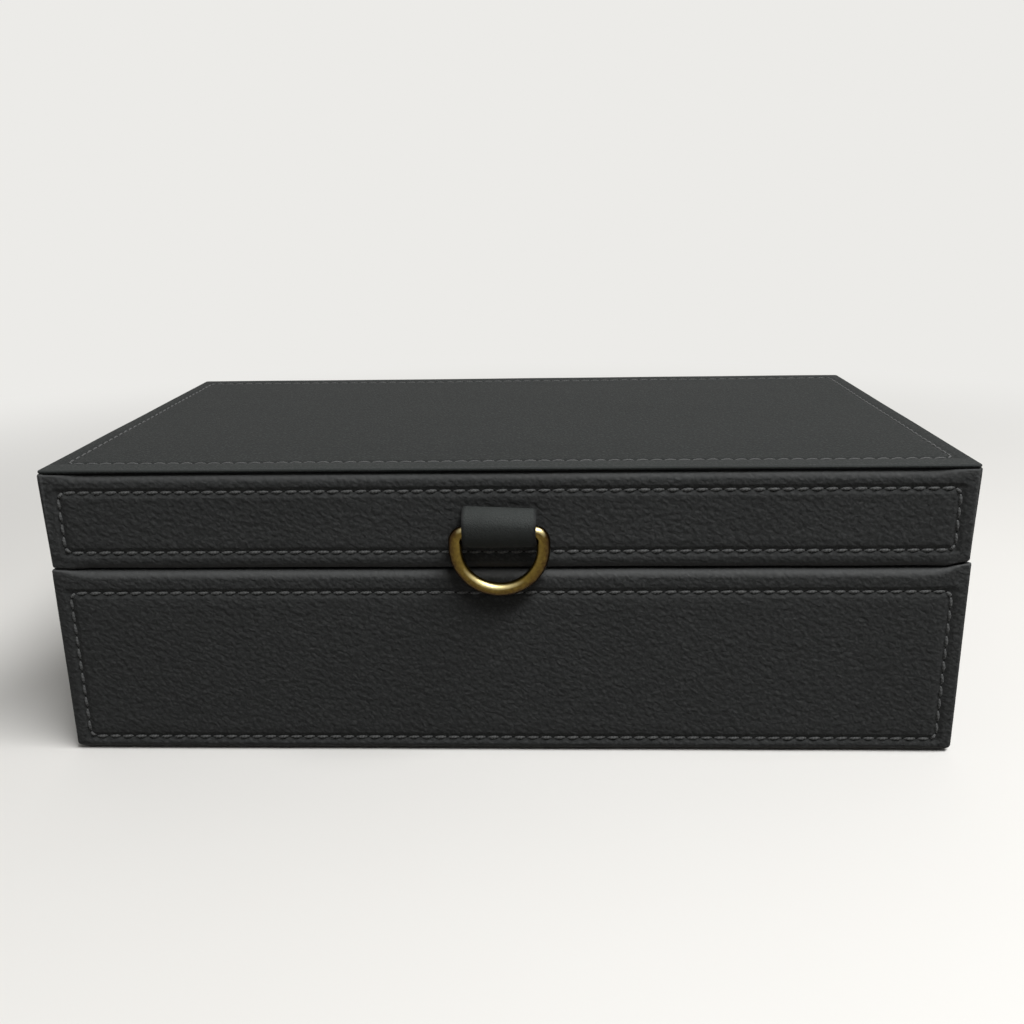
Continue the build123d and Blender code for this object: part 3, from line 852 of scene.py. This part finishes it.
def stitch_tree():
    """Stitches, with a flat dark disc at each awl hole that paints the shade inside it, along every edge of a
    wire, laid on the leather under it.
    """
    inputs = {
        "Rows": GEOMETRY,
        "Leather": OBJECT,
        "Pitch": STITCH_PITCH,
        "Thread length": THREAD_LENGTH,
        "Thread radius": THREAD_RADIUS,
        "Rise": THREAD_RISE,
        "Sink": THREAD_SINK,
        "Slant": THREAD_SLANT,
        "Hole radius": AWL_HOLE,
        "Slimmer on top": TOP_THREAD_SHARE,
        "Seed": 7,
        "Thread": MATERIAL,
        "Hole": MATERIAL,
    }
    graph, given = new_group("Stitch rows", "GeometryNodeTree", inputs, ["Stitches"], GEOMETRY)
    count = graph.math("ROUND", graph.add("SplineLength")["Length"] / given["Pitch"]) + 1.0
    rows = graph.add("MeshToCurve", Mesh=given["Rows"])
    rows = graph.add("ResampleCurve", Curve=rows, Count=count, mode="COUNT")
    wire = graph.add("CurveToMesh", Curve=rows)
    leather = graph.add("ObjectInfo", Object=given["Leather"], transform_space="ORIGINAL")["Geometry"]
    facing, run = graph.attribute("facing"), graph.attribute("run")

    def laid_on_leather(points, lift):
        """The points moved along their facing until they lie on the leather."""
        above = graph.add("InputPosition") + facing * (3 * MM)
        ray = graph.add(
            "Raycast", Target_Geometry=leather, Source_Position=above,
            Ray_Direction=facing * -1.0, Ray_Length=8 * MM,
        )
        spot = ray["Hit Position"] + facing * lift
        return graph.add("SetPosition", Geometry=points, Selection=ray["Is Hit"], Position=spot)

    def random(low, high, offset):
        """A random number for each stitch; the node's third and fourth inputs are its limits."""
        seed = given["Seed"] + float(offset)
        return graph.add("RandomValue", None, None, low, high, Seed=seed, data_type="FLOAT")[1]

    ends = graph.add("InputMeshEdgeVertices")
    step = ends["Position 2"] - ends["Position 1"]
    share = graph.add("VectorMath", step, operation="LENGTH")["Value"] / given["Pitch"]
    marked = graph.stored(wire, "run", step, domain="EDGE", data_type="FLOAT_VECTOR")
    marked = graph.stored(marked, "step", share, domain="EDGE", data_type="FLOAT")
    along = graph.add("AlignRotationToVector", Vector=run, axis="X")
    turned = graph.add("AlignRotationToVector", Rotation=along, Vector=facing, axis="Z", pivot_axis="X")
    lean = given["Slant"] + random(-0.035, 0.035, 1)
    leaning = graph.add("AxisAngleToRotation", Axis=(0, 0, 1), Angle=lean)
    leaned = graph.add("RotateRotation", Rotation=turned, Rotate_By=leaning, rotation_space="LOCAL")
    stretch = graph.attribute("step", "FLOAT") * random(0.94, 1.04, 2)
    slim = graph.add("SeparateXYZ", Vector=facing)["Z"] * (given["Slimmer on top"] - 1.0) + 1.0
    wide, high = slim * random(0.9, 1.1, 3), slim * random(0.85, 1.1, 4)
    size = graph.add("CombineXYZ", X=stretch, Y=wide, Z=high)
    spots = laid_on_leather(graph.add("MeshToPoints", Mesh=marked, mode="EDGES"), 0.0)
    thread = thread_of_one_stitch(graph, given)
    stitches = graph.add("InstanceOnPoints", Points=spots, Instance=thread, Rotation=leaned, Scale=size)
    stitches = graph.add("SetMaterial", Geometry=stitches, Material=given["Thread"])

    # painted shade: a flat near-black disc laid at each awl hole
    shade_disc = graph.add("MeshUVSphere", Segments=8, Rings=4, Radius=given["Hole radius"])["Mesh"]
    upright = graph.add("AlignRotationToVector", Vector=facing, axis="Z")
    corners = graph.add("MeshToPoints", Mesh=wire, mode="VERTICES")
    single = graph.add("MergeByDistance", Geometry=corners, Distance=0.1 * MM)
    spots, flattened = laid_on_leather(single, -AWL_HOLE_SINK), (1.0, 1.0, AWL_HOLE_FLATNESS)
    hole_shades = graph.add("InstanceOnPoints", Points=spots, Instance=shade_disc, Rotation=upright, Scale=flattened)
    hole_shades = graph.add("SetMaterial", Geometry=hole_shades, Material=given["Hole"])
    both = graph.add("JoinGeometry", stitches)
    graph.feed(both.socket.node.inputs[0], hole_shades)
    return graph.give(Stitches=graph.add("RealizeInstances", Geometry=both))


def frame_rows(corners, facing):
    """The sides of one stitched frame and a short stitch across each corner, as separate lines."""
    corners = [Vector(corner) for corner in corners]
    lines = []
    for i in range(4):
        start, end, after = corners[i], corners[(i + 1) % 4], corners[(i + 2) % 4]
        run, turn = (end - start).normalized(), (after - end).normalized()
        lines.append((start + run * STITCH_CORNER, end - run * STITCH_CORNER, facing))
        lines.append((end - run * STITCH_CORNER, end + turn * STITCH_CORNER, facing))
    return lines


def side_frames(low, high, rows):
    """The stitched frames on the four upright sides of a case."""
    margin, (bottom, top) = STITCH_SIDE_MARGIN, rows
    left, right, front, back = low.x + margin, high.x - margin, low.y + margin, high.y - margin
    sides = (
        ((left, low.y), (right, low.y), (0, -1, 0)),
        ((high.x, front), (high.x, back), (1, 0, 0)),
        ((right, high.y), (left, high.y), (0, 1, 0)),
        ((low.x, back), (low.x, front), (-1, 0, 0)),
    )
    lines = []
    for start, end, facing in sides:
        lines += frame_rows([(*start, bottom), (*end, bottom), (*end, top), (*start, top)], facing)
    return lines


def top_frame(low, high):
    """The stitched frame on the lid's top."""
    margin, z = STITCH_SIDE_MARGIN, high.z
    front, back = low.y + TOP_FRONT_MARGIN, high.y - TOP_BACK_MARGIN
    left, right = low.x + margin, high.x - margin
    return frame_rows([(left, front, z), (right, front, z), (right, back, z), (left, back, z)], (0, 0, 1))


def stitch_piece(name, body, lines, leathers):
    """All the stitches of one body as one plain mesh, laid on its leather pieces."""
    mesh = bpy.data.meshes.new(name)
    places = [point for start, end, _ in lines for point in (start, end)]
    mesh.from_pydata(places, [(2 * i, 2 * i + 1) for i in range(len(lines))], [])
    layer = mesh.attributes.new("facing", "FLOAT_VECTOR", "POINT")
    layer.data.foreach_set("vector", [c for _, _, facing in lines for c in (*facing, *facing)])
    piece = new_piece(name, mesh)
    work = bmesh.new()
    for leather in leathers:
        work.from_mesh(leather.data)
    bed = write_mesh(work, bpy.data.meshes.new("bed"))
    modifier = piece.modifiers.new("stitches", "NODES")
    modifier.node_group = STITCHES
    values = {"Leather": new_piece("bed", bed), "Thread": THREAD, "Hole": AWL_HOLE_SHADE}
    for item in STITCHES.interface.items_tree:
        if item.in_out == "INPUT" and item.name in values:
            modifier[item.identifier] = values[item.name]
    settle(piece)
    bpy.data.meshes.remove(bed)
    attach(piece, body)


# ------------------------------------------------------------------ surface effects
def grain_effect():
    """Pebbled grain pressed into leather: creased pebbles, soft ones, or some of each."""
    inputs = {"Cell size": 1.3 * MM, "Crease width": 0.42, "Fine share": 0.18, "Soft share": 0.0}
    graph, given = new_group("Pebbled grain", "ShaderNodeTree", inputs, ["Height", "Crease"])
    place = graph.add(
        "Mapping", Vector=graph.object_place(), Rotation=(0.15, 0.45, 0.15), Scale=(1.25, 1.0, 0.95),
        vector_type="TEXTURE",
    ) / given["Cell size"]
    drift = graph.add("TexNoise", Vector=place, Scale=0.7, Detail=3.0)["Color"] - (0.5, 0.5, 0.5)
    straight, drifted = place + drift * 0.5, place + drift * 1.3

    def cells(scale, width):
        edge = graph.add("TexVoronoi", Vector=drifted, Scale=scale, feature="DISTANCE_TO_EDGE")["Distance"]
        return graph.add("MapRange", edge, From_Max=width, interpolation_type="SMOOTHSTEP")

    pebbles, specks = cells(1.0, given["Crease width"]), cells(2.3, 0.4)
    swells = graph.add("TexNoise", Vector=drifted, Scale=0.45, Detail=2.0)
    fine = graph.add("TexNoise", Vector=drifted, Scale=5.0, Detail=2.0)
    soft = graph.add("TexNoise", Vector=straight, Scale=1.0, Detail=0.0, Distortion=0.4) * 2.6 - 0.8
    creased = (fine * 0.4 + specks) * given["Fine share"] + pebbles
    height = soft * given["Soft share"] + creased * (1.0 - given["Soft share"]) + swells
    return graph.give(Height=height, Crease=1.0 - (specks * 0.3 + pebbles * 0.7))


def mottle_effect():
    """Soft uneven patches, for dye, dust and patina."""
    inputs = {"Patch size": 20 * MM, "Contrast": 1.0}
    graph, given = new_group("Mottle", "ShaderNodeTree", inputs, ["Patches"])
    place = graph.object_place() / given["Patch size"]
    patches = graph.add("TexNoise", Vector=place, Scale=1.0, Detail=5.0, Roughness=0.6)
    return graph.give(Patches=graph.limited((patches - 0.5) * given["Contrast"] + 0.5))


def nap_effect():
    """Short lying fibres, for suede, felt, wadding and board."""
    inputs = {"Fibre size": 0.25 * MM, "Stretch": (1.0, 1.0, 1.0)}
    graph, given = new_group("Fibre nap", "ShaderNodeTree", inputs, ["Height", "Tone"])
    place = graph.object_place() * given["Stretch"] / given["Fibre size"]
    fibres = graph.add("TexNoise", Vector=place, Scale=1.0, Detail=4.0, Distortion=1.2)
    brushed = graph.add("TexNoise", Vector=place, Scale=0.03, Detail=3.0, Distortion=0.6)
    return graph.give(Height=fibres, Tone=fibres * 0.35 + brushed * 0.65)


def rubbed_effect():
    """Where edges and raised places wear lighter: 1 on an edge that wears, 0 on a flat face."""
    inputs = {"Reach": 0.4 * MM, "Break up": 3 * MM}
    graph, given = new_group("Rubbed edges", "ShaderNodeTree", inputs, ["Rubbed"])
    softened = graph.add("Bevel", Radius=given["Reach"], samples=4)
    normal = graph.add("NewGeometry")["Normal"]
    same = graph.add("VectorMath", softened, normal, operation="DOT_PRODUCT")["Value"]
    broken = graph.add("TexNoise", Vector=graph.object_place() / given["Break up"], Scale=1.0, Detail=4.0)
    return graph.give(Rubbed=graph.limited((1.0 - same) * 5.0 * (broken * 1.6 - 0.2)))


def rgb(red, green, blue):
    """A colour given as on a screen, from 0 to 255."""
    shares = (c / 3294.6 if c <= 10 else ((c / 255 + 0.055) / 1.055) ** 2.4 for c in (red, green, blue))
    return (*shares, 1.0)


class Finish(Graph):
    """A material on one Principled shader, with the plain values on its own sockets."""

    def __init__(self, name, **sockets):
        self.material = bpy.data.materials.new(name)
        self.material.use_nodes = True
        super().__init__(self.material.node_tree)
        self.shader = self.tree.nodes["Principled BSDF"]
        self.feed_named(self.shader, sockets)

    def effect(self, group, **values):
        return self.add("Group", node_tree=group, **values)

    def mask(self, name):
        return self.add("Attribute", attribute_name=name)["Fac"]

    def between(self, factor, low, high):
        """A colour between two colours, each from a node or as on a screen."""
        low, high = (rgb(*colour) if isinstance(colour, tuple) else colour for colour in (low, high))
        return self.add("Mix", factor, *[None] * 5, low, high, data_type="RGBA")[2]

    def bumps(self, *layers):
        """Bumps laid over each other, each (height, depth in metres, strength)."""
        normal = None
        for height, depth, strength in layers:
            normal = self.add("Bump", Height=height, Distance=depth, Strength=strength, Normal=normal)
        return normal

    def done(self, colour, roughness, *layers):
        normal = self.bumps(*layers)
        self.feed_named(self.shader, {"Base Color": colour, "Roughness": roughness, "Normal": normal})
        return self.material


def leather_finish(name, dark, light, worn_and_highlight, cell, depth, soft_share=0.0):
    """Pebbled leather: darker in its creases, a little lighter and smoother where it is rolled over. The
    lighter colour on the rolls is partly wear and partly a painted highlight, and on the top's front band it
    is painted light.
    """
    finish = Finish(name, Specular_IOR_Level=0.08)
    grain = finish.effect(GRAIN, Cell_size=cell, Soft_share=soft_share)
    patches = finish.effect(MOTTLE, Patch_size=38 * MM)
    rolled, pulled = finish.mask("rolled"), finish.mask("pulled")
    tone = patches * 0.3 + (1.0 - grain["Crease"]) * 0.7
    # painted highlight, partly wear: lighter on the rolls and on the top's front band
    lightened = rolled * (patches * 0.5 + 0.4)
    colour = finish.between(lightened, finish.between(tone, dark, light), worn_and_highlight)
    rough = grain["Crease"] * 0.16 + 0.54 - lightened * 0.08 + patches * 0.06
    flatter = 1.0 - rolled * 0.35 - pulled * 0.5
    return finish.done(colour, rough, (grain["Height"] * flatter, depth, 1.0))


def thread_finish():
    """Twisted grey-black sewing thread."""
    finish = Finish("grey_black_thread", Specular_IOR_Level=0.35, Sheen_Weight=0.15, Sheen_Roughness=0.4)
    turns = finish.mask("thread_along") * THREAD_TURNS + finish.mask("thread_around")
    ply = finish.math("SINE", turns * (2 * math.pi)) * 0.5 + 0.5
    tone = finish.effect(MOTTLE, Patch_size=3 * MM) * 0.4 + ply * 0.6
    colour = finish.between(tone, (62, 63, 63), (92, 93, 93))
    fibres = finish.effect(NAP, Fibre_size=0.06 * MM)["Height"]
    return finish.done(colour, finish.ranged(ply, 0.75, 0.6), (ply, 0.05 * MM, 0.8), (fibres, 0.02 * MM, 0.5))


def hole_shade_finish():
    """Painted shade for an awl hole: the near-black colour of the flat disc that stands for the hole's shaded
    inside.
    """
    finish = Finish("awl_hole", Specular_IOR_Level=0.1)
    patches = finish.effect(MOTTLE, Patch_size=1 * MM)
    return finish.done(finish.between(patches, (9, 9, 9), (20, 20, 20)), finish.ranged(patches, 0.85, 0.95))


def strap_finish():
    """Smooth strap leather with painted cut edges."""
    finish = Finish("strap_leather", Specular_IOR_Level=0.06)
    grain = finish.effect(GRAIN, Cell_size=0.8 * MM, Crease_width=0.14)
    patches = finish.effect(MOTTLE, Patch_size=12 * MM)
    painted = finish.mask("painted")
    tone = finish.ranged(patches, 0.3, 1.0) - grain["Crease"] * 0.3
    colour = finish.between(painted, finish.between(tone, (52, 54, 53), (71, 74, 73)), (44, 45, 45))
    rough = grain["Crease"] * 0.1 + 0.56 - painted * 0.12
    height = grain["Height"] * finish.ranged(painted, 1.0, 0.2)
    return finish.done(colour, rough, (height, 0.1 * MM, 0.8))


def brass_finish(name, bright, dull, dark_tone, polish, patch, worn_and_highlight=None):
    """Brass with thin uneven tarnish, lighter along its edges where they wear. On the pull ring it is also
    painted darker on the outside of the bends and behind, and painted lighter as a highlight where the wire
    faces up and to the front.
    """
    finish = Finish(name, Metallic=1.0, Coat_Weight=0.1, Coat_Roughness=0.12)
    patches = finish.effect(MOTTLE, Patch_size=patch, Contrast=1.6)
    specks = finish.effect(MOTTLE, Patch_size=1.2 * MM, Contrast=1.4)
    lightened = finish.effect(RUBBED, Reach=0.35 * MM)
    drawn = finish.effect(NAP, Fibre_size=0.12 * MM, Stretch=(0.25, 1.0, 1.0))["Height"]
    rough = specks * 0.1 + finish.ranged(patches, polish, polish + 0.08)
    darkening = finish.ranged(specks, -0.35, 0.65)
    if worn_and_highlight:
        # painted shade on the ring, added to its patina
        darkening = finish.mask("sheltered") * 0.9 + darkening
    colour = finish.between(darkening, finish.between(patches, bright, dull), dark_tone)
    colour = finish.between(lightened, colour, bright)
    if worn_and_highlight:
        # painted highlight on the ring, partly wear where fingers pull: lighter and rougher where it faces
        # the lamp
        wear_and_highlight_share = finish.mask("polished") * (1.1 - specks * 0.5)
        colour = finish.between(wear_and_highlight_share, colour, worn_and_highlight)
        rough = wear_and_highlight_share * 0.14 + rough
    return finish.done(colour, rough - lightened * 0.08, (patches, 0.05 * MM, 0.25), (drawn, 0.008 * MM, 0.3))


def fibre_finish(name, low, high, rough, fibre, depth, sheen=0.0, edges=False):
    """Suede, felt, wadding, card or board: short fibres brushed in soft patches."""
    finish = Finish(name, Specular_IOR_Level=0.2, Sheen_Weight=sheen, Sheen_Roughness=0.5)
    nap = finish.effect(NAP, Fibre_size=fibre)
    tone = finish.effect(MOTTLE, Patch_size=30 * MM) * 0.4 + nap["Tone"] * 0.6
    colour = finish.between(tone, low, high)
    if edges:
        colour = finish.between(finish.effect(RUBBED, Reach=0.6 * MM), colour, high)
    return finish.done(colour, finish.ranged(nap["Tone"], rough, rough + 0.1), (nap["Height"], depth, 0.6))


GRAIN, MOTTLE, NAP, RUBBED = grain_effect(), mottle_effect(), nap_effect(), rubbed_effect()

# The third colour is the lighter colour of the rolls: partly wear, partly painted highlight.
BLACK_LEATHER = leather_finish(
    "black_pebbled_leather", (50, 51, 51), (73, 74, 74), (88, 89, 89), 1.5 * MM, 0.155 * MM, 0.9
)
# The same leather on the top sheet, painted darker than on the sides: painted shade that holds down the
# brightness the lamp and the room's sheen give the top.
SHADED_TOP_LEATHER = leather_finish(
    "black_top_leather", (34, 36, 36), (46, 48, 47), (58, 61, 60), 1.1 * MM, 0.08 * MM
)
STRAP_LEATHER = strap_finish()
THREAD = thread_finish()
AWL_HOLE_SHADE = hole_shade_finish()
# The last colour is the ring's painted highlight, partly wear.
RING_BRASS = brass_finish(
    "antique_brass", (120, 102, 46), (100, 81, 34), (56, 38, 13), 0.23, 7 * MM, (218, 203, 150)
)
HINGE_BRASS = brass_finish("hinge_brass", (184, 158, 98), (150, 122, 68), (92, 70, 34), 0.26, 9 * MM)
SCREW_BRASS = brass_finish("screw_brass", (178, 152, 92), (138, 112, 62), (74, 55, 28), 0.3, 3 * MM)
SUEDE = fibre_finish("taupe_suede", (120, 106, 92), (152, 137, 121), 0.85, 0.2 * MM, 0.05 * MM, 0.3)
FELT = fibre_finish("black_felt", (24, 24, 25), (46, 46, 48), 0.9, 0.3 * MM, 0.12 * MM, 0.2)
BOARD = fibre_finish("fibreboard", (140, 112, 80), (178, 148, 112), 0.8, 0.5 * MM, 0.05 * MM, edges=True)
CARD = fibre_finish("grey_card", (120, 120, 116), (150, 150, 145), 0.8, 0.3 * MM, 0.03 * MM)
WADDING = fibre_finish("wadding", (205, 203, 198), (235, 233, 228), 0.9, 0.35 * MM, 0.15 * MM, 0.2)
STITCHES = stitch_tree()


# ------------------------------------------------------------------ the box
def dress(piece, material):
    piece.data.materials.clear()
    piece.data.materials.append(material)
    return piece


def finished(piece, material, body, node):
    """A finished piece with its material, the body it rides on and the CAD node it stands for."""
    dress(piece, material)
    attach(piece, body)
    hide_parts(node)
    return piece


def tray():
    wrap = leather_wrap("tray_leather", TRAY_LOW, TRAY_HIGH, 1, TRAY_END_ROLL, TRAY_ROWS)
    cut_away(wrap, hinge_cutters(1))
    finished(wrap, BLACK_LEATHER, "tray", "base_leather_wrap")
    stitch_piece("tray_stitches", "tray", side_frames(TRAY_LOW, TRAY_HIGH, TRAY_ROWS), [wrap])


def lid():
    half = (STRAP_HIGH.x - STRAP_LOW.x) / 2 + STRAP_SLOT_FIT
    tall = STRAP_SHEET + STRAP_SLOT_FIT
    slot = ((BAR.x - half, BAR.x + half), (SLOT_Z - tall, SLOT_Z + tall))
    wrap = leather_wrap("lid_leather", LID_LOW, LID_HIGH, -1, LID_END_ROLL, LID_ROWS, slot)
    slit = cutter((-half, -3 * MM, -tall), (half, 5 * MM, tall))
    place = Matrix.Translation((BAR.x, LID_LOW.y, SLOT_Z)) @ Matrix.Rotation(STRAP_TILT, 4, "Y")
    slit.data.transform(place)
    cut_away(wrap, [*hinge_cutters(-1), slit])
    finished(wrap, BLACK_LEATHER, "lid", "lid_leather_wrap")
    top = top_sheet("lid_top_sheet", TOP_LOW, TOP_HIGH)
    finished(top, SHADED_TOP_LEATHER, "lid", "lid_top_leather")
    lines = side_frames(LID_LOW, LID_HIGH, LID_ROWS) + top_frame(TOP_LOW, TOP_HIGH)
    stitch_piece("lid_stitches", "lid", lines, [wrap, top])
    finished(strap_piece("pull_strap"), STRAP_LEATHER, "lid", "ring_strap")


def pull_ring():
    ring = tube("pull_ring", ring_path(), WIRE_FULL, 32, WIRE_DENTS)
    finished(ring, RING_BRASS, "ring", "d_ring")


def linings():
    for body, case in (("tray", "base"), ("lid", "lid")):
        for side in ("front", "back", "left", "right"):
            node = f"{case}_{side}_lining"
            finished(covered_card(f"{body}_{side}_suede_card", node), SUEDE, body, node)
    for body, node, side in (("tray", "base_floor_pad", 1), ("lid", "lid_pad", -1)):
        pad = finished(pad_piece(f"{body}_suede_pad", node, side), SUEDE, body, node)


def hidden_layers():
    """Felt under the tray, and the wadding under the lid's top sheet."""
    low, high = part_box("base_felt")
    felt, _ = soft_slab("tray_felt", low, high, -1, 0.0, 0.25 * MM, CORNER, 6 * MM)
    finished(felt, FELT, "tray", "base_felt")
    low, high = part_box("lid_top_padding")
    wadding, _ = soft_slab("lid_wadding", low, high, 1, 0.15 * MM, 0.5 * MM, CORNER, 8 * MM)
    finished(wadding, WADDING, "lid", "lid_top_padding")


def cad_finishes():
    """The boards, card and hinges keep their own shapes."""
    by_word = {
        "wall": BOARD, "board": BOARD, "card": CARD, "leaf": HINGE_BRASS, "pin": HINGE_BRASS,
        "screws": SCREW_BRASS,
    }
    for name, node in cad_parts.items():
        if node.hide_render:
            continue
        material = next(material for word, material in by_word.items() if word in name)
        if not node.material_slots:
            node.data.materials.append(material)
        for material_slot in node.material_slots:
            material_slot.material = material


# ------------------------------------------------------------------ floor, light and camera
def seen_directly(graph):
    """1 for what the camera, a reflection or glass looks at, 0 for light that bounces."""
    path = graph.add("LightPath")
    seen = graph.math("MAXIMUM", path["Is Camera Ray"], path["Is Glossy Ray"])
    return graph.math("MAXIMUM", seen, path["Is Transmission Ray"])


def pale_floor():
    """A pale floor that runs out into the pale room, and throws back no more light than a table."""
    work = bmesh.new()
    bmesh.ops.create_circle(work, cap_ends=True, segments=96, radius=FLOOR_RADIUS)
    floor = new_piece("floor", write_mesh(work, bpy.data.meshes.new("floor")))
    finish = Finish("pale_floor", Roughness=0.9, Specular_IOR_Level=0.05)
    pale = finish.between(finish.effect(MOTTLE, Patch_size=0.4), FLOOR_TONE, ROOM_TONE)
    seen = seen_directly(finish)
    finish.feed_named(finish.shader, {"Base Color": finish.between(seen, BOUNCE_TONE, pale)})
    away = finish.add("VectorMath", finish.object_place(), operation="LENGTH")["Value"]
    first, last = FLOOR_FADE
    far = finish.add("MapRange", away, From_Min=first, From_Max=last, interpolation_type="SMOOTHSTEP")
    room = finish.add("Emission", Color=rgb(*ROOM_TONE), Strength=1.0)
    mix = finish.add("MixShader", far * seen, Value(finish, finish.shader.outputs[0]), room)
    finish.feed_named(finish.tree.nodes["Material Output"], {"Surface": mix})
    dress(floor, finish.material)


def daylight():
    """Soft room light, stronger behind the box, and one wide lamp nearly overhead."""
    world = bpy.data.worlds.new("pale_room")
    bpy.context.scene.world = world
    world.use_nodes = True
    graph = Graph(world.node_tree)
    toward = graph.add("TexCoord")["Generated"]
    behind = graph.math("MAXIMUM", graph.add("SeparateXYZ", Vector=toward)["Y"], 0.0)
    strength = graph.ranged(seen_directly(graph), behind * ROOM_FILL_BEHIND + ROOM_FILL, 1.0)
    graph.feed_named(world.node_tree.nodes["Background"], {"Color": rgb(*ROOM_TONE), "Strength": strength})
    lamp = bpy.data.lights.new("overhead", "AREA")
    lamp.shape = "RECTANGLE"
    lamp.size, lamp.size_y = LAMP_SIZE
    lamp.energy = LAMP_WATTS
    thing = new_piece("overhead", lamp)
    thing.location = LAMP_PLACE
    thing.rotation_euler = (LAMP_AIM - LAMP_PLACE).to_track_quat("-Z", "Y").to_euler()


def camera():
    data = bpy.data.cameras.new("camera")
    data.lens, data.sensor_width = CAMERA_LENS, CAMERA_SENSOR
    data.clip_start, data.clip_end = 0.01, 50.0
    thing = new_piece("camera", data)
    thing.matrix_world = (
        Matrix.Translation(CAMERA_PLACE)
        @ Matrix.Rotation(-CAMERA_YAW, 4, "Z")
        @ Matrix.Rotation(math.pi / 2 - CAMERA_PITCH, 4, "X")
        @ Matrix.Rotation(CAMERA_ROLL, 4, "Z")
    )
    bpy.context.scene.camera = thing


camera()
tray()
lid()
pull_ring()
linings()
hidden_layers()
cad_finishes()
pale_floor()
daylight()
bpy.context.scene.view_settings.view_transform = "Standard"
